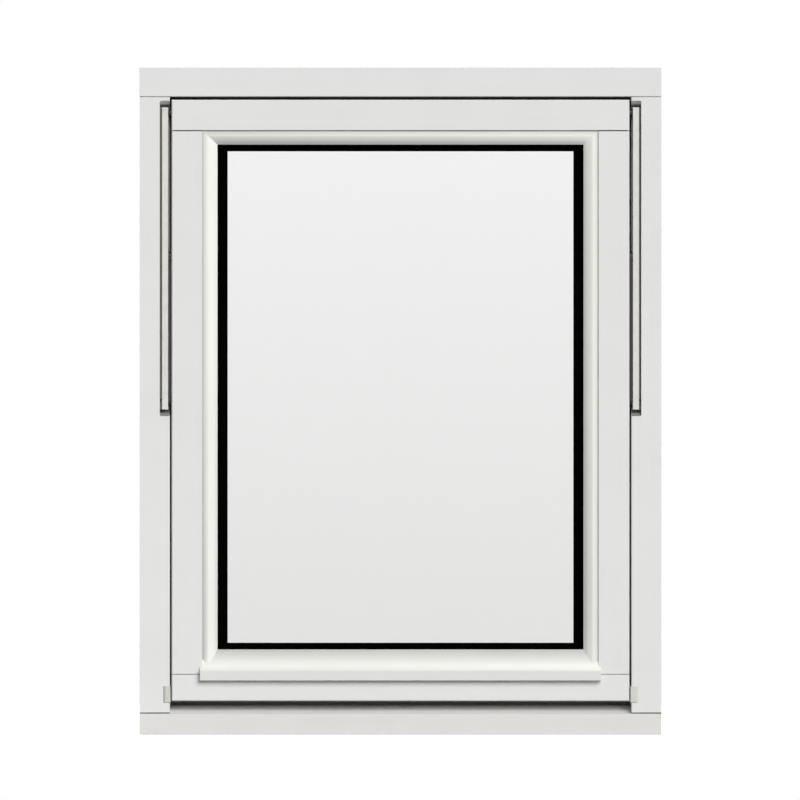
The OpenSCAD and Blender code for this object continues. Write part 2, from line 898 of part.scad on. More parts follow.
// Everything above the mitre between the side bead and the top bead, seen from the front
module above_mitre() {
    run = [side_bead_w, top_bead_w];
    polygon([
        [sight_x - run.x, sight_z1 - run.y], [rebate_x + run.x, rebate_z + run.y],
        [sight_x - run.x, rebate_z + run.y]
    ]);
}

module below_mitre() {
    run = [side_bead_w, top_bead_w];
    polygon([
        [sight_x - run.x, sight_z1 - run.y], [rebate_x + run.x, rebate_z + run.y],
        [rebate_x + run.x, sight_z1 - run.y]
    ]);
}

module glazing_bead_top() {
    color(PAINT) difference() {
        along_x(-rebate_x, rebate_x) translate([front_y + bead_inset, rebate_z]) rotate(-90)
            bead_section(top_bead_w);
        both_sides() along_y(nose_y, back_y) below_mitre();
        brad_set(pin_play);
    }
}

module side_bead() {
    difference() {
        along_z(bed_z, rebate_z) translate([rebate_x, front_y + bead_inset]) mirror([1, 0])
            bead_section(side_bead_w);
        along_y(nose_y, back_y) above_mitre();
        bottom_bead_body();
        brad_set(pin_play);
    }
}

module glazing_bead_left() {
    color(PAINT) mirror([1, 0, 0]) side_bead();
}

module glazing_bead_right() {
    color(PAINT) side_bead();
}

// Section of the bottom bead, with a nose in front of the sash and a drip groove below it
module bottom_bead_section() {
    difference() {
        polygon([
            [bead_back_y, sight_z0], [slope_y, sight_z0], [hollow_y, hollow_z], [nose_y, nose_z1],
            [nose_y, nose_z0], [front_y - nose_gap, nose_z0], [front_y - nose_gap, bed_z - bed_fall],
            [front_y, bed_z - bed_fall], [bead_back_y, bed_z]
        ]);
        translate(hollow_centre) circle(hollow_r, $fn = 128);
        rect(nose_y + drip_in, nose_z0 - drip_up, nose_y + drip_in + drip_w, nose_z0 + drip_up);
    }
}

module bottom_bead_body() {
    along_x(-rebate_x, rebate_x) intersection() {
        bottom_bead_section();
        rect(front_y - nose_gap, nose_z0, bead_back_y, sight_z0);
    }
    intersection() {
        along_x(-rebate_x - nose_over, rebate_x + nose_over) intersection() {
            bottom_bead_section();
            rect(nose_y, nose_z0, front_y - nose_gap, sight_z0);
        }
        along_y(nose_y, front_y) round_rect(
            -rebate_x - nose_over, nose_z0 - nose_corner_r, rebate_x + nose_over, face_z, nose_corner_r
        );
    }
}

module glazing_bead_bottom() {
    color(PAINT) difference() {
        bottom_bead_body();
        brad_set(pin_play);
    }
}

module bead_pins() {
    color(STEEL) brad_set(0);
}

// Black gasket between the beads and the outer pane, with a flat foot on the glass
module outer_gasket() {
    color(BLACK) union() {
        along_y(bead_back_y, outer_pane_y)
            ring(sight_x + gasket_bite, sight_z0 - gasket_bite, sight_z1 + gasket_bite,
                gasket_bite + gasket_lip, gasket_bite + gasket_lip);
        along_y(outer_pane_y - gasket_foot_t, outer_pane_y)
            ring(sight_x + gasket_bite, sight_z0 - gasket_bite, sight_z1 + gasket_bite,
                gasket_bite + side_band, gasket_bite + end_band);
    }
}

module inner_glazing_tape() {
    color(BLACK) along_y(lip_y - seal_t, lip_y) ring(
        sight_x + tape_inset + tape_w, sight_z0 - tape_inset - tape_w, sight_z1 + tape_inset + tape_w,
        tape_w, tape_w
    );
}

module pane(y) {
    along_y(y, y + pane_t) rect(-glass_x, glass_z0, glass_x, glass_z1);
}

module outer_pane() {
    color("#E8ECEC", 0.4) pane(outer_pane_y);
}

module inner_pane() {
    color("#E8ECEC", 0.4) pane(inner_pane_y);
}

module spacer_frame() {
    color(BLACK) along_y(outer_pane_y + pane_t, inner_pane_y)
        ring(glass_x - sealant_w, glass_z0 + sealant_w, glass_z1 - sealant_w, spacer_w, spacer_w);
}

module edge_sealant() {
    color(BLACK) along_y(outer_pane_y + pane_t, inner_pane_y)
        ring(glass_x, glass_z0, glass_z1, sealant_w, sealant_w);
}

module setting_blocks() {
    color(BLACK) both_sides() box(
        [block_place_share * glass_x - block_l / 2, outer_pane_y, bed_z],
        [block_place_share * glass_x + block_l / 2, inner_pane_y + pane_t, glass_z0]
    );
}

// Steel plate in the edge of the sash, which carries the shoe pin and the arm pin
module hinge_plate() {
    difference() {
        box(
            [plate_x - plate_t, pivot_y - plate_w / 2, arm_pin_z - plate_tail],
            [plate_x, pivot_y + plate_w / 2, shoe_z + plate_end]
        );
        plate_screw_set(pin_play);
        for (z = [shoe_z, arm_pin_z]) translate([plate_x - plate_t - arris, pivot_y, z]) rotate([0, 90, 0])
            cylinder(h = plate_t + 2 * arris, r = pin_r + pin_play);
    }
}

module hinge_plate_left() {
    color(STEEL) mirror([1, 0, 0]) hinge_plate();
}

module hinge_plate_right() {
    color(STEEL) hinge_plate();
}

module hinge_plate_screws() {
    color(STEEL) both_sides() plate_screw_set(0);
}

// Pin from the hinge plate through the track's mouth into the shoe
module shoe_pin() {
    translate([0, pivot_y, shoe_z]) rotate([0, 90, 0]) rotate_extrude() polygon([
        [0, plate_x - plate_t], [pin_r, plate_x - plate_t], [pin_r, plate_x], [pin_head_r, plate_x],
        [pin_head_r, arm_x + arm_t], [pin_r, arm_x + arm_t],
        [pin_r, floor_x - 2 * slide_play], [0, floor_x - 2 * slide_play]
    ]);
}

module shoe_pin_left() {
    color(DARK_STEEL) mirror([1, 0, 0]) shoe_pin();
}

module shoe_pin_right() {
    color(DARK_STEEL) shoe_pin();
}

// Shouldered rivet that joins an arm to the hinge plate
module arm_pin() {
    arm_back = arm_x + arm_t + face_play;
    translate([0, pivot_y, arm_pin_z]) rotate([0, 90, 0]) rotate_extrude() polygon([
        [0, plate_x - plate_t], [pin_r, plate_x - plate_t], [pin_r, plate_x], [pin_head_r, plate_x],
        [pin_head_r, arm_x - face_play], [pin_r, arm_x - face_play], [pin_r, arm_back],
        [pin_head_r, arm_back], [pin_head_r, arm_back + pin_head_t], [0, arm_back + pin_head_t]
    ]);
}

module arm_pin_left() {
    color(DARK_STEEL) mirror([1, 0, 0]) arm_pin();
}

module arm_pin_right() {
    color(DARK_STEEL) arm_pin();
}

// Flat arm from the fixed pivot up to the arm pin
module hinge_arm(upper_play) {
    difference() {
        along_x(arm_x, arm_x + arm_t) {
            rect(pivot_y - arm_w / 2, pivot_z, pivot_y + arm_w / 2, arm_pin_z);
            for (z = [pivot_z, arm_pin_z]) translate([pivot_y, z]) circle(arm_w / 2);
        }
        translate([arm_x - arm_t, pivot_y, pivot_z]) rotate([0, 90, 0])
            cylinder(h = 3 * arm_t, r = pin_r + fit_play);
        translate([arm_x - arm_t, pivot_y, arm_pin_z]) rotate([0, 90, 0])
            cylinder(h = 3 * arm_t, r = pin_r + upper_play);
    }
}

module hinge_arm_left() {
    color(DARK_STEEL) mirror([1, 0, 0]) hinge_arm(fit_play);
}

module hinge_arm_right() {
    color(DARK_STEEL) hinge_arm(loop_play);
}

// Nylon shoe in the track's channel, with a neck in its mouth and a brake screw
module slide_shoe() {
    z1 = shoe_z + shoe_pin_below_top;
    cheek = track_d / 2 - track_wall - slide_play;
    neck = track_mouth / 2 - slide_play;
    difference() {
        along_z(z1 - shoe_l, z1) {
            rect(
                track_x + track_lip_t + slide_play, pivot_y - cheek, floor_x - slide_play, pivot_y + cheek
            );
            rect(track_x + slide_play, pivot_y - neck, floor_x - slide_play, pivot_y + neck);
        }
        translate([track_x, pivot_y, shoe_z]) rotate([0, 90, 0])
            cylinder(h = track_w, r = pin_r + fit_play);
        translate([track_x, pivot_y, shoe_z - brake_drop]) rotate([0, 90, 0])
            cylinder(h = track_w, r = brake_r + pin_play);
    }
}

module slide_shoe_left() {
    color("#3A3A3A") mirror([1, 0, 0]) slide_shoe();
}

module slide_shoe_right() {
    color("#3A3A3A") slide_shoe();
}

module brake_screw() {
    l = floor_x - track_x - 2 * slide_play;
    translate([track_x + slide_play, pivot_y, shoe_z - brake_drop]) rotate([0, 90, 0]) difference() {
        cylinder(h = l, r = brake_r);
        translate([-brake_slot_w / 2, -2 * brake_r, -brake_slot_d])
            cube([brake_slot_w, 4 * brake_r, 2 * brake_slot_d]);
    }
}

module brake_screw_left() {
    color("#B99A4B") mirror([1, 0, 0]) brake_screw();
}

module brake_screw_right() {
    color("#B99A4B") brake_screw();
}

// Plate of the lock, drawn in X and Z
module lock_plate() {
    difference() {
        rect(-case_half, case_z0, case_half, case_z1);
        translate([0, spindle_z]) circle(hub_r + fit_play);
    }
}

// Places of the two posts between the lock's plates
module lock_posts(r, y0, y1) {
    for (x = [-post_x, post_x]) along_y(y0, y1) translate([x, case_z1 - post_rise]) circle(r);
}

module lock_case() {
    color(STEEL) union() {
        along_y(lock_y + plate_gap / 2, lock_y + plate_gap / 2 + case_t) lock_plate();
        lock_posts(post_r, lock_y - plate_gap / 2, lock_y + plate_gap / 2);
        lock_posts(post_r / 2, lock_y - plate_gap / 2 - case_t, lock_y + plate_gap / 2);
    }
}

module lock_cover() {
    color(STEEL) difference() {
        along_y(lock_y - plate_gap / 2 - case_t, lock_y - plate_gap / 2) lock_plate();
        lock_posts(post_r / 2 + pin_play, lock_y - plate_gap, lock_y);
    }
}

module lock_face_plate() {
    color(STEEL) difference() {
        along_y(lock_y - face_plate_w / 2, lock_y + face_plate_w / 2)
            rect(-sash_x + arris, sash_z0, sash_x - arris, sash_z0 + face_plate_t);
        face_screw_set(pin_play);
    }
}

module face_plate_screws() {
    color(STEEL) face_screw_set(0);
}

// Half of a pinion tooth's angle at a given radius, after the involute
function involute_angle(r) = tan(acos(base_r / r)) * 180 / PI - acos(base_r / r);
function tooth_half(r) = 90 / pinion_teeth - tooth_play / pitch_r * 180 / PI
    + involute_angle(pitch_r) - involute_angle(max(r, base_r));
function polar(r, a) = [r * cos(a), r * sin(a)];

module pinion_face() {
    flank_shares = [0, 0.2, 0.4, 0.6, 0.8, 1];
    radii = concat([root_r], [for (s = flank_shares) base_r + s * (tip_r - base_r)]);
    polygon([for (i = [0 : pinion_teeth - 1]) let (mid = 90 + i * 360 / pinion_teeth) each concat(
        [for (r = radii) polar(r, mid - tooth_half(r))],
        [for (k = [len(radii) - 1 : -1 : 0]) polar(radii[k], mid + tooth_half(radii[k]))]
    )]);
}

module drive_pinion() {
    hub_half = plate_gap / 2 + case_t;
    color(STEEL) difference() {
        union() {
            along_y(lock_y - rack_t / 2, lock_y + rack_t / 2) translate([0, spindle_z]) pinion_face();
            along_y(lock_y - hub_half, lock_y + hub_half) translate([0, spindle_z]) circle(hub_r);
        }
        translate([0, lock_y, spindle_z]) cube(
            [square_w + 2 * square_play, 4 * hub_half, square_w + 2 * square_play], center = true
        );
    }
}

// Rack with its teeth upwards and its pitch line at zero, with counts of pitches to the left and the right
module rack_face(left, right) {
    slant = tan(pressure_angle);
    half = rack_pitch / 4 - tooth_play;
    add = tooth_module;
    ded = dedendum_share * tooth_module;
    polygon(concat(
        [[-(left + 0.5) * rack_pitch, -ded - rack_back], [(right + 0.5) * rack_pitch, -ded - rack_back]],
        [[(right + 0.5) * rack_pitch, -ded]],
        [for (k = [right - 1 : -1 : -left]) let (c = (k + 0.5) * rack_pitch) each [
            [c + half + ded * slant, -ded], [c + half - add * slant, add],
            [c - half + add * slant, add], [c - half - ded * slant, -ded]
        ]],
        [[-(left + 0.5) * rack_pitch, -ded]]
    ));
}

// Rod on the right, behind the face plate, with slots that the plate's screws pass through
module rod_bar(x0) {
    slot_half = face_screw_r + bolt_play;
    difference() {
        box([x0, lock_y - rod_w / 2, bolt_z - rod_h / 2], [bolt_x, lock_y + rod_w / 2, bolt_z + rod_h / 2]);
        for (x = face_screw_xs) box(
            [x - throw - slot_half, lock_y - slot_half, bolt_z - rod_h],
            [x + slot_half, lock_y + slot_half, bolt_z + rod_h]
        );
    }
}

module lock_rod_left() {
    block_x0 = -rack_near * rack_pitch;
    block_x1 = rack_far * rack_pitch;
    color(STEEL) union() {
        mirror([1, 0, 0]) rod_bar(-block_x1);
        along_y(lock_y - rack_t / 2, lock_y + rack_t / 2) {
            translate([0, spindle_z - pitch_r]) rack_face(rack_near, rack_far);
            rect(block_x0, bolt_z, block_x1, spindle_z - pitch_r - tooth_module - rack_back / 2);
        }
    }
}

module lock_rod_right() {
    strap_x = (rack_far + 0.5) * rack_pitch + strap_gap;
    rack_z = spindle_z + pitch_r + dedendum_share * tooth_module;
    color(STEEL) union() {
        rod_bar(strap_x);
        along_y(lock_y - rack_t / 2, lock_y + rack_t / 2) {
            translate([0, spindle_z + pitch_r]) rotate(180) rack_face(rack_near, rack_far);
            rect(0, rack_z, strap_x + strap_w, rack_z + rack_back);
            rect(strap_x, bolt_z, strap_x + strap_w, rack_z + rack_back);
        }
    }
}

module lock_bolt() {
    translate([bolt_x, lock_y - bolt_size.y / 2, bolt_z - bolt_size.z / 2]) cube(bolt_size);
}

module lock_bolt_left() {
    color(ZINC) mirror([1, 0, 0]) lock_bolt();
}

module lock_bolt_right() {
    color(ZINC) lock_bolt();
}

// Rose on the room side of the bottom rail, with long round ends
module handle_rose() {
    color(ZINC) difference() {
        along_y(back_y, back_y + rose_t)
            round_rect(
                -rose_w / 2, spindle_z - rose_h / 2, rose_w / 2, spindle_z + rose_h / 2,
                rose_h / 2 - rose_edge
            );
        translate([0, back_y - rose_t, spindle_z]) rotate([-90, 0, 0])
            cylinder(h = 3 * rose_t, r = neck_r + fit_play);
        rose_screw_set(pin_play);
    }
}

module rose_screws() {
    color(STEEL) rose_screw_set(0);
}

// Lever along the rail, on a round neck that turns in the rose
module handle_lever() {
    lever_y = back_y + lever_reach;
    color(ZINC) difference() {
        union() {
            translate([0, back_y + neck_sink, spindle_z]) rotate([-90, 0, 0])
                cylinder(h = lever_reach - neck_sink, r = neck_r);
            translate([0, lever_y, spindle_z]) sphere(neck_r);
            translate([0, lever_y, spindle_z]) rotate([0, -90, 0])
                cylinder(h = lever_l, r1 = lever_r, r2 = lever_end_r);
            translate([-lever_l, lever_y, spindle_z]) sphere(lever_end_r);
        }
        box(
            [-square_w / 2 - square_play, back_y, spindle_z - square_w / 2 - square_play],
            [
                square_w / 2 + square_play, back_y + neck_sink + socket_d,
                spindle_z + square_w / 2 + square_play
            ]
        );
    }
}

module handle_spindle() {
    color(STEEL) box(
        [-square_w / 2, lock_y - plate_gap / 2 - case_t, spindle_z - square_w / 2],
        [square_w / 2, back_y + neck_sink + socket_d, spindle_z + square_w / 2]
    );
}

frame_head();
frame_jamb_left();
frame_jamb_right();
frame_sill();
frame_corner_screws();
weather_seal();
hinge_track_left();
hinge_track_right();
track_screws();
arm_pivot_pin_left();
arm_pivot_pin_right();
keep_left();
keep_right();
keep_screws();
sash_top_rail();
sash_bottom_rail();
sash_stile_left();
sash_stile_right();
sash_corner_dowels();
glazing_bead_top();
glazing_bead_left();
glazing_bead_right();
glazing_bead_bottom();
bead_pins();
outer_gasket();
inner_glazing_tape();
outer_pane();
inner_pane();
spacer_frame();
edge_sealant();
setting_blocks();
hinge_plate_left();
hinge_plate_right();
hinge_plate_screws();
shoe_pin_left();
shoe_pin_right();
arm_pin_left();
arm_pin_right();
lock_case();
lock_cover();
lock_face_plate();
face_plate_screws();
handle_rose();
rose_screws();
hinge_arm_left();
hinge_arm_right();
slide_shoe_left();
slide_shoe_right();
brake_screw_left();
brake_screw_right();
handle_lever();
handle_spindle();
drive_pinion();
lock_rod_left();
lock_rod_right();
lock_bolt_left();
lock_bolt_right();
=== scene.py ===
import math

import bpy
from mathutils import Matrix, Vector


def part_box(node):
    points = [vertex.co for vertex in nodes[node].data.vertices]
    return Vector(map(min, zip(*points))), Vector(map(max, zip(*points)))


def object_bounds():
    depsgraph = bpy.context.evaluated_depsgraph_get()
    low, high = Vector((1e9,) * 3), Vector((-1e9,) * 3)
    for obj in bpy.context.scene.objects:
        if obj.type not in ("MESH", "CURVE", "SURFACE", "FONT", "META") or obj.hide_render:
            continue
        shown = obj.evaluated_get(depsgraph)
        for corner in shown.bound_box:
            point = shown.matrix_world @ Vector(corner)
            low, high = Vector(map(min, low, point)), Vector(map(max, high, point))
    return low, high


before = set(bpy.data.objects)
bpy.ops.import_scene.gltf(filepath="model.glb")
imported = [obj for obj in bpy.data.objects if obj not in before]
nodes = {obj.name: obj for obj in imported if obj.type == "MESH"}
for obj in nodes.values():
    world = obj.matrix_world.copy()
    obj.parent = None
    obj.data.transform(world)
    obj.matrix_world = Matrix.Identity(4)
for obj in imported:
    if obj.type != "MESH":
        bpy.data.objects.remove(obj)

cad_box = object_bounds()
scene = bpy.context.scene

MM = 0.001
X, Y, Z = range(3)
LOW, HIGH = range(2)


# Colours
def srgb(r, g, b):
    """Linear colour of an 8-bit one."""
    return tuple(
        v / 12.92 if v <= 0.04045 else ((v + 0.055) / 1.055) ** 2.4 for v in (r / 255, g / 255, b / 255)
    )


def scaled(colour, share):
    return tuple(v * share for v in colour)


WHITE = (1.0, 1.0, 1.0)
TIMBER_PAINT = srgb(227, 227, 228)
SILL_PAINT = srgb(222, 221, 219)
# The beads' paint: a little warmer than the timber's, and lighter as a painted highlight
BEAD_PAINT_WITH_HIGHLIGHT = srgb(240, 240, 237)
BRIGHT_METAL = srgb(190, 191, 190)

# Node helpers
# Most values of a noise lie in this range
NOISE = (0.3, 0.7)
# Share of the white background that shiny surfaces mirror
MIRRORED = 0.5
# Places of a mix node's factor, colours and result, whose names aren't unique
MIX_INPUTS = (0, 6, 7)
MIX_RESULT = 2


class Graph:
    """A node tree, with short calls for the nodes used below."""

    def __init__(self, tree):
        self.nodes = tree.nodes
        self.links = tree.links

    def feed(self, socket, value):
        """Link an output to a socket, or set a number, a vector or a colour on it."""
        if hasattr(value, "is_output"):
            self.links.new(value, socket)
        elif socket.type == "RGBA":
            socket.default_value = (*value, 1.0)
        else:
            socket.default_value = value

    def feed_named(self, node, inputs):
        for name, value in inputs.items():
            self.feed(node.inputs[name.replace("_", " ")], value)

    def feed_first(self, node, *values):
        for socket, value in zip(node.inputs, values):
            self.feed(socket, value)

    def add(self, kind, **inputs):
        """A new node, with its inputs fed by name."""
        node = self.nodes.new("ShaderNode" + kind)
        self.feed_named(node, inputs)
        return node

    def maths(self, operation, a, b):
        node = self.add("Math")
        node.operation = operation
        self.feed_first(node, a, b)
        return node.outputs["Value"]

    def mix_shaders(self, factor, a, b):
        node = self.add("MixShader")
        self.feed_first(node, factor, a, b)
        return node.outputs["Shader"]

    def add_shaders(self, a, b):
        node = self.add("AddShader")
        self.feed_first(node, a, b)
        return node.outputs["Shader"]

    def background_rays(self):
        """1 for camera and transmission rays, and a part of it for mirrored ones."""
        path = self.add("LightPath").outputs
        straight = self.maths("MAXIMUM", path["Is Camera Ray"], path["Is Transmission Ray"])
        mirrored = self.maths("MULTIPLY", path["Is Glossy Ray"], MIRRORED)
        return self.maths("MAXIMUM", straight, mirrored)


class Material(Graph):
    """A new material's node tree around its main shader, with textures in the object's own metres."""

    def __init__(self, name):
        self.material = bpy.data.materials.new(name)
        self.material.use_nodes = True
        super().__init__(self.material.node_tree)
        self.shader = self.nodes["Principled BSDF"]
        self.surface = self.nodes["Material Output"].inputs["Surface"]
        self.coordinates = self.add("TexCoord").outputs

    def set(self, **inputs):
        """Feed the main shader."""
        self.feed_named(self.shader, inputs)

    def place(self, waves):
        """The place on the object, times the waves per metre along each axis."""
        return self.add("Mapping", Vector=self.coordinates["Object"], Scale=waves).outputs["Vector"]

    def part(self, axis, source="Object"):
        """One of the three parts of the place, or of the way that the surface faces."""
        return self.add("SeparateXYZ", Vector=self.coordinates[source]).outputs[axis]

    def noise(self, waves, detail=3, roughness=0.5, distortion=0.0):
        node = self.add(
            "TexNoise",
            Vector=self.place(waves),
            Scale=1.0,
            Detail=detail,
            Roughness=roughness,
            Distortion=distortion,
        )
        return node.outputs["Fac"]

    def cells(self, waves):
        return self.add("TexVoronoi", Vector=self.place(waves), Scale=1.0).outputs["Distance"]

    def span(self, value, source, target=(0.0, 1.0)):
        """A value moved from one range to another, and held at its ends."""
        node = self.add("MapRange", Value=value)
        for name, number in zip(("From Min", "From Max", "To Min", "To Max"), (*source, *target)):
            node.inputs[name].default_value = number
        return node.outputs["Result"]

    def mixture(self, a, b, share):
        """The first value by that share, and the second by the rest."""
        return self.maths("ADD", self.maths("MULTIPLY", a, share), self.maths("MULTIPLY", b, 1 - share))

    def ramp(self, value, *stops):
        """Colours along a value, from stops of a position and a colour."""
        node = self.add("ValToRGB", Fac=value)
        elements = node.color_ramp.elements
        while len(elements) < len(stops):
            elements.new(0.5)
        for element, (position, colour) in zip(elements, stops):
            element.position = position
            element.color = (*colour, 1.0)
        return node.outputs["Color"]

    def tones(self, value, colour, *stops):
        """Tones of one colour along a value, from stops of a position and a share of the colour."""
        return self.ramp(value, *((position, scaled(colour, share)) for position, share in stops))

    def blend(self, factor, a, b):
        node = self.add("Mix")
        node.data_type = "RGBA"
        for index, value in zip(MIX_INPUTS, (factor, a, b)):
            self.feed(node.inputs[index], value)
        return node.outputs[MIX_RESULT]

    def with_painted_shade(self, skin, colour, painted_shade, patches=None):
        """A skin under layers of painted shade, darker colour where shade falls, which are uneven where
        patches are given.
        """
        for axis, start, end, left in painted_shade:
            shaded = self.span(self.part(axis), (start, end), (1.0, 0.0))
            if patches is not None:
                shaded = self.maths("MULTIPLY", shaded, patches)
            skin = self.blend(shaded, skin, scaled(colour, left))
        return skin

    def bump(self, *layers):
        """Bumps of (height, depth in metres, strength), laid one on the other."""
        normal = None
        for height, depth, strength in layers:
            node = self.add("Bump", Height=height, Distance=depth, Strength=strength)
            if normal is not None:
                self.feed(node.inputs["Normal"], normal)
            normal = node.outputs["Normal"]
        self.set(Normal=normal)


def even(waves):
    """The same waves per metre along every axis."""
    return (waves, waves, waves)


def lengthwise(along, waves, across):
    """Waves per metre along one axis, and those along the other two."""
    return tuple(waves if axis == along else across for axis in (X, Y, Z))


# Materials
def painted_shade_layer(axis, edge, reach, left, full=0.0):
    """A layer of painted shade by an edge: darker colour where shade falls, in the form a material's layers
    take.

    Along the axis, it is full at one distance from the edge and ends at another, its reach. What is left
    is the share of the colour that still shows.
    """
    return axis, edge + full, edge + reach, left


def paint(name, along, colour=TIMBER_PAINT, painted_shade=(), ledge=None):
    """Satin white paint on timber: brush lines and faint grain along one axis, with layers of painted
    shade.

    A ledge is a height below which faces that look up get painted shade, and the share of the colour left
    there.
    """
    m = Material(name)
    strokes = m.noise(lengthwise(along, 9, 620), detail=4, roughness=0.6)
    grain = m.noise(lengthwise(along, 2.2, 150), detail=5, roughness=0.65, distortion=0.4)
    cloud = m.noise(even(14))
    coat = m.tones(m.mixture(cloud, grain, 0.6), colour, (0.3, 0.972), (0.5, 1.0), (0.72, 1.018))
    # Layers of painted shade, a little uneven
    coat = m.with_painted_shade(coat, colour, painted_shade, patches=m.span(cloud, NOISE, (0.92, 1.08)))
    # Painted shade on faces that look up below the ledge's height
    if ledge is not None:
        top, left = ledge
        upward = m.span(m.part(Z, "Normal"), (0.3, 0.6))
        below = m.span(m.part(Z), (top, top - 1 * MM))
        coat = m.blend(m.maths("MULTIPLY", upward, below), coat, scaled(colour, left))
    m.set(
        Base_Color=coat,
        Roughness=m.span(strokes, (0.25, 0.75), (0.6, 0.72)),
        Specular_IOR_Level=0.08,
    )
    m.bump((grain, 0.12 * MM, 0.35), (strokes, 0.06 * MM, 0.5))
    return m.material


def rubber(name, tone):
    """Extruded black rubber: matt, with fine die lines and a little bloom."""
    m = Material(name)
    die_lines = m.noise(even(900), detail=2)
    cloud = m.noise(even(30), detail=4)
    black = (tone, tone, tone)
    bloom = (2.2 * tone, 2.2 * tone, 2.3 * tone)
    m.set(
        Base_Color=m.ramp(cloud, (0.35, black), (0.8, bloom)),
        Roughness=m.span(cloud, NOISE, (0.62, 0.78)),
        Specular_IOR_Level=0.004,
    )
    m.bump((die_lines, 0.04 * MM, 0.4))
    return m.material


def plastic(name, colour):
    """Moulded plastic with a fine spark-eroded skin."""
    m = Material(name)
    pits = m.cells(even(1400))
    cloud = m.noise(even(60), detail=4)
    m.set(
        Base_Color=m.tones(cloud, colour, (0.35, 0.88), (0.7, 1.12)),
        Roughness=m.span(cloud, NOISE, (0.46, 0.6)),
    )
    m.bump((pits, 0.03 * MM, 0.5))
    return m.material


def metal(name, colour, along, rough, pits=0.25, metallic=1.0, shine=0.5, painted_shade=()):
    """Drawn or brushed metal, with lines along one axis, a little tarnish and layers of painted shade."""
    m = Material(name)
    lines = m.noise(lengthwise(along, 14, 1500), roughness=0.6)
    tarnish = m.noise(even(70), detail=5, roughness=0.6)
    skin = m.tones(tarnish, colour, (0.3, 0.93), (0.55, 1.0), (0.8, 1.04))
    m.set(
        Base_Color=m.with_painted_shade(skin, colour, painted_shade),
        Metallic=metallic,
        Specular_IOR_Level=shine,
        Roughness=m.span(m.mixture(lines, tarnish, 0.6), NOISE, rough),
    )
    m.bump((lines, 0.02 * MM, pits), (tarnish, 0.04 * MM, pits))
    return m.material


def bare_wood(name):
    """Beech of the dowels, with flecks along the grain."""
    m = Material(name)
    rings = m.noise(lengthwise(Z, 16, 260), detail=4, distortion=0.6)
    flecks = m.noise(lengthwise(Z, 90, 900), detail=2)
    wood = m.ramp(rings, (0.3, srgb(190, 150, 104)), (0.7, srgb(216, 182, 136)))
    m.set(
        Base_Color=m.blend(m.span(flecks, (0.6, 0.75), (0.0, 0.5)), wood, srgb(160, 120, 80)),
        Roughness=m.span(rings, NOISE, (0.55, 0.7)),
    )
    m.bump((flecks, 0.08 * MM, 0.4))
    return m.material


def glass(name, low, high, deep, pale):
    """Clear float glass, a little greyer towards the bottom, that lets light through to the room."""
    m = Material(name)
    film = m.noise(lengthwise(Z, 1.6, 5), detail=2)
    height = m.maths("ADD", m.span(m.part(Z), (low, high)), m.span(film, NOISE, (-0.02, 0.02)))
    m.set(
        Base_Color=m.ramp(height, (0.0, deep), (1.0, pale)),
        Roughness=m.span(film, NOISE, (0.0, 0.012)),
        IOR=1.5,
        Transmission_Weight=1.0,
    )
    path = m.add("LightPath").outputs
    lighting = m.maths("MAXIMUM", path["Is Shadow Ray"], path["Is Diffuse Ray"])
    clear = m.add("BsdfTransparent", Color=(0.94, 0.95, 0.945)).outputs["BSDF"]
    m.feed(m.surface, m.mix_shaders(lighting, m.shader.outputs["BSDF"], clear))
    return m.material


def pale_floor(name, tone, glow):
    """A matt grey floor that glows for the rays that see the background, so that it looks as white."""
    m = Material(name)
    m.set(Base_Color=(tone, tone, tone), Roughness=0.9, Specular_IOR_Level=0.0)
    strength = m.maths("MULTIPLY", m.background_rays(), glow)
    emission = m.add("Emission", Color=WHITE, Strength=strength).outputs["Emission"]
    m.feed(m.surface, m.add_shaders(m.shader.outputs["BSDF"], emission))
    return m.material


def dress(material, *names):
    """Give CAD nodes that material alone."""
    for name in names:
        slots = nodes[name].data.materials
        slots.clear()
        slots.append(material)


# Painted timber
# A height above the foot of the slots in the jambs, and below all else there that looks up; jamb faces that
# look up below it get painted shade
OVER_SLOT_FOOT = 0.45
# Height of the bottom bead's drip nose
NOSE = 11.5 * MM

# Painted shade: a dark line at the top end of each stile, in the joint under the top rail
stile_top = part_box("sash_stile_left")[HIGH][Z]
stile_joint_shade = [painted_shade_layer(Z, stile_top, full=-0.3 * MM, reach=-0.9 * MM, left=0.1)]
# Painted shade: a dark line at the foot of each jamb, in the joint on the sill
jamb_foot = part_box("frame_jamb_left")[LOW][Z]
jamb_foot_shade = [painted_shade_layer(Z, jamb_foot, full=0.3 * MM, reach=1.1 * MM, left=0.1)]
dress(paint("paint_along_x", X), "frame_head", "sash_top_rail", "sash_bottom_rail")
dress(paint("paint_stile", Z, painted_shade=stile_joint_shade), "sash_stile_left", "sash_stile_right")
dress(paint("paint_sill", X, SILL_PAINT), "frame_sill")
# Painted shade on the jambs' faces that look up below that height, as on the ramps at the foot of the slots
dress(
    paint("paint_jamb", Z, painted_shade=jamb_foot_shade, ledge=(OVER_SLOT_FOOT, 0.33)),
    "frame_jamb_left", "frame_jamb_right",
)

# Painted shade on the left bead beside its joint with the stile, in two layers
left_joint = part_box("glazing_bead_left")[LOW][X]
left_bead_shade = [
    painted_shade_layer(X, left_joint, reach=7 * MM, left=0.68),
    painted_shade_layer(X, left_joint, reach=1.5 * MM, left=0.42),
]
# Painted shade on the right bead beside its joint with the stile
right_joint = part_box("glazing_bead_right")[HIGH][X]
right_bead_shade = [painted_shade_layer(X, right_joint, reach=-6 * MM, left=0.74)]
# Painted shade on the top bead: under the top rail, and on the face that looks down to the glass
top_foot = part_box("glazing_bead_top")[LOW][Z]
top_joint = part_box("glazing_bead_top")[HIGH][Z]
top_bead_shade = [
    painted_shade_layer(Z, top_joint, reach=-6 * MM, left=0.66),
    painted_shade_layer(Z, top_foot, reach=6 * MM, left=0.86),
]
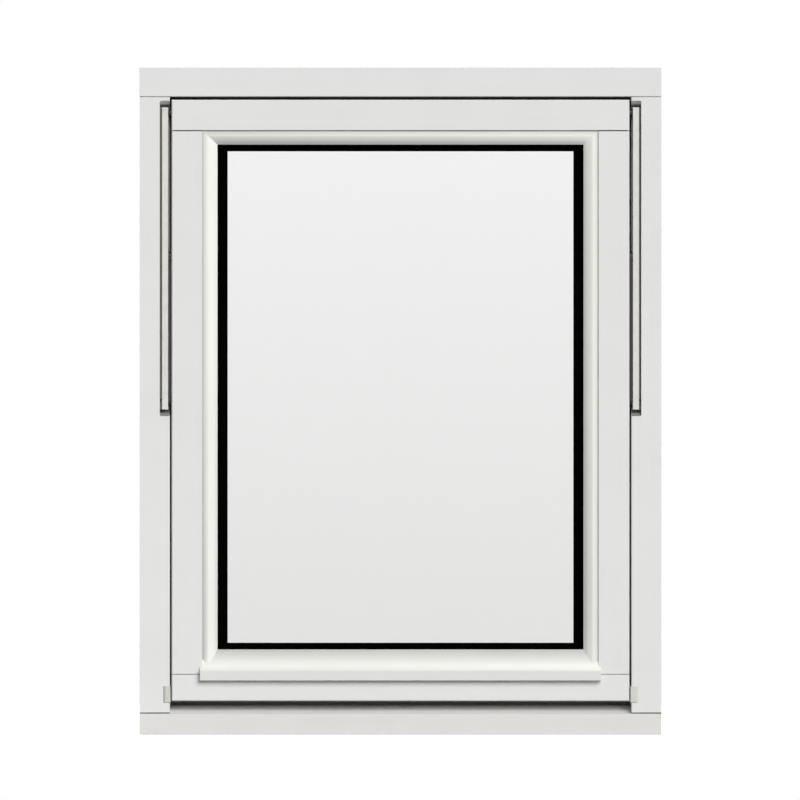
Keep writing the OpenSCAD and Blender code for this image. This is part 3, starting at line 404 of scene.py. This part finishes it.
# Painted shade on the bottom bead: darkest by the glass and fading down its slope, and over the nose's
# front face and all below its top edge, made darker than the lit slope above
glass_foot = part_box("glazing_bead_bottom")[HIGH][Z]
nose_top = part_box("glazing_bead_bottom")[LOW][Z] + NOSE
bottom_bead_shade = [
    painted_shade_layer(Z, glass_foot, reach=-20 * MM, left=0.6),
    painted_shade_layer(Z, nose_top, full=-1 * MM, reach=1.2 * MM, left=0.85),
]
dress(paint("paint_bead_left", Z, BEAD_PAINT_WITH_HIGHLIGHT, left_bead_shade), "glazing_bead_left")
dress(paint("paint_bead_right", Z, BEAD_PAINT_WITH_HIGHLIGHT, right_bead_shade), "glazing_bead_right")
dress(paint("paint_bead_top", X, BEAD_PAINT_WITH_HIGHLIGHT, top_bead_shade), "glazing_bead_top")
dress(paint("paint_bead_bottom", X, BEAD_PAINT_WITH_HIGHLIGHT, bottom_bead_shade), "glazing_bead_bottom")

# Rubber, plastic, bare wood and glass
dress(rubber("rubber_black", tone=0.0007), "outer_gasket", "weather_seal")
dress(rubber("tape_black", tone=0.003), "inner_glazing_tape", "edge_sealant")
dress(plastic("nylon_dark", srgb(52, 52, 54)), "slide_shoe_left", "slide_shoe_right")
dress(plastic("block_plastic", srgb(60, 60, 62)), "setting_blocks")
dress(plastic("spacer_black", srgb(44, 44, 46)), "spacer_frame")
dress(bare_wood("beech"), "sash_corner_dowels")

pane_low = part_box("outer_pane")[LOW][Z]
pane_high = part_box("outer_pane")[HIGH][Z]
dress(
    glass("glass_float", pane_low, pane_high, deep=(0.876, 0.876, 0.872), pale=(0.947, 0.947, 0.946)),
    "outer_pane", "inner_pane",
)

# Metals
# Width of the strip along a track's outer edge that gets painted shade, where it shows deep in the gap by
# the jamb
TRACK_STRIP = 2.7 * MM

strip_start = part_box("hinge_track_right")[HIGH][X] - TRACK_STRIP
# Painted shade on the outer strip of both tracks
track_edge_shade = [
    painted_shade_layer(X, strip_start, full=0.4 * MM, reach=0.0, left=0.3),
    painted_shade_layer(X, -strip_start, full=-0.4 * MM, reach=0.0, left=0.3),
]
dress(
    metal(
        "aluminium_coated", srgb(210, 208, 204), Z,
        rough=(0.42, 0.54), pits=0.2, metallic=0.25, painted_shade=track_edge_shade,
    ),
    "hinge_track_left", "hinge_track_right",
)
dress(
    metal("aluminium_satin", BRIGHT_METAL, X, rough=(0.28, 0.4), pits=0.2),
    "handle_lever", "handle_rose",
)
dress(
    metal("zinc_plated", srgb(196, 196, 191), Y, rough=(0.42, 0.55), pits=0.3, metallic=0.35),
    "keep_left", "keep_right", "lock_bolt_left", "lock_bolt_right", "lock_case", "lock_cover",
)
dress(
    metal("zinc_dull", srgb(176, 176, 172), Y, rough=(0.62, 0.75), pits=0.3, metallic=0.05, shine=0.1),
    "frame_corner_screws",
)
dress(
    metal("steel_rolled", BRIGHT_METAL, Z, rough=(0.28, 0.4)),
    "hinge_plate_left", "hinge_plate_right",
)
dress(
    metal("steel_bright", BRIGHT_METAL, X, rough=(0.24, 0.36)),
    "track_screws", "keep_screws", "bead_pins", "hinge_plate_screws", "face_plate_screws", "rose_screws",
    "lock_face_plate", "handle_spindle", "drive_pinion", "lock_rod_left", "lock_rod_right",
)
# Black-coated steel; its dark colour is also painted shade where the arms and pins show in the gaps beside
# the sash
dress(
    metal("steel_black_and_gap_shade", srgb(58, 58, 60), Z, rough=(0.4, 0.55), pits=0.3, metallic=0.6),
    "hinge_arm_left", "hinge_arm_right", "arm_pin_left", "arm_pin_right", "shoe_pin_left", "shoe_pin_right",
    "arm_pivot_pin_left", "arm_pivot_pin_right",
)
dress(
    metal("brass_turned", srgb(204, 172, 98), X, rough=(0.24, 0.36), pits=0.2),
    "brake_screw_left", "brake_screw_right",
)

# Softened timber edges
# Points nearer to each other than this are joined first
WELD = 0.01 * MM
# Edges that turn by more than this are softened
SHARP = math.radians(35)


def soften(*names, width, segments=2):
    """A small round along every sharp edge, such as paint gives."""
    for name in names:
        weld = nodes[name].modifiers.new("weld", "WELD")
        weld.merge_threshold = WELD
        bevel = nodes[name].modifiers.new("soft_edges", "BEVEL")
        bevel.width = width
        bevel.segments = segments
        bevel.limit_method = "ANGLE"
        bevel.angle_limit = SHARP
        bevel.harden_normals = True
        bevel.use_clamp_overlap = True


soften(
    "frame_head", "frame_jamb_left", "frame_jamb_right", "frame_sill",
    "sash_top_rail", "sash_bottom_rail", "sash_stile_left", "sash_stile_right",
    width=0.4 * MM,
)
soften("glazing_bead_top", "glazing_bead_left", "glazing_bead_right", width=0.3 * MM)
soften("glazing_bead_bottom", width=0.9 * MM, segments=3)

# World
AMBIENT = 0.2
AMBIENT_COLOUR = (1.0, 1.0, 0.86)

world = bpy.data.worlds.new("studio")
scene.world = world
world.use_nodes = True
studio = Graph(world.node_tree)
studio.nodes.clear()
seen = studio.add("Background", Color=WHITE, Strength=1.0).outputs["Background"]
lighting = studio.add("Background", Color=AMBIENT_COLOUR, Strength=AMBIENT).outputs["Background"]
studio.add("OutputWorld", Surface=studio.mix_shaders(studio.background_rays(), lighting, seen))

# Floor
FLOOR_HALF = 3.0
FLOOR_TOP = -0.4 * MM

floor_mesh = bpy.data.meshes.new("floor")
floor_mesh.from_pydata(
    [(x * FLOOR_HALF, y * FLOOR_HALF, FLOOR_TOP) for x, y in ((-1, -1), (1, -1), (1, 1), (-1, 1))],
    [],
    [(0, 1, 2, 3)],
)
floor_mesh.materials.append(pale_floor("floor_pale", tone=0.45, glow=0.78))
floor = bpy.data.objects.new("floor", floor_mesh)
scene.collection.objects.link(floor)

# Lamps
LAMP_DISTANCE = 4.0


def lamp(name, side, strength, angle):
    """An even, soft light from that side, as wide as that angle in degrees."""
    light = bpy.data.lights.new(name, "SUN")
    light.energy = strength
    light.angle = math.radians(angle)
    piece = bpy.data.objects.new(name, light)
    piece.location = Vector(side).normalized() * LAMP_DISTANCE
    piece.rotation_euler = Vector(side).to_track_quat("Z", "Y").to_euler()
    scene.collection.objects.link(piece)


lamp("key", side=(0.25, -0.6, 0.35), strength=2.78, angle=40)
lamp("room_side", side=(-0.35, 0.6, 0.2), strength=2.0, angle=30)

# Camera
# The photo is square on, so a long lens looks from far away, and its picture spans this width at the front
SPAN = 0.9596
LENS = 1200.0
SENSOR = 36.0
CENTRE_X = -0.6 * MM
CENTRE_Z = 401.2 * MM

camera_data = bpy.data.cameras.new("camera")
camera_data.lens = LENS
camera_data.sensor_width = SENSOR
camera_data.sensor_fit = "HORIZONTAL"
camera_data.clip_start = 0.1
camera_data.clip_end = 200.0
camera = bpy.data.objects.new("camera", camera_data)
camera.location = (CENTRE_X, cad_box[LOW][Y] - SPAN * LENS / SENSOR, CENTRE_Z)
camera.rotation_euler = (math.pi / 2, 0, 0)
scene.collection.objects.link(camera)
scene.camera = camera

scene.view_settings.view_transform = "Standard"
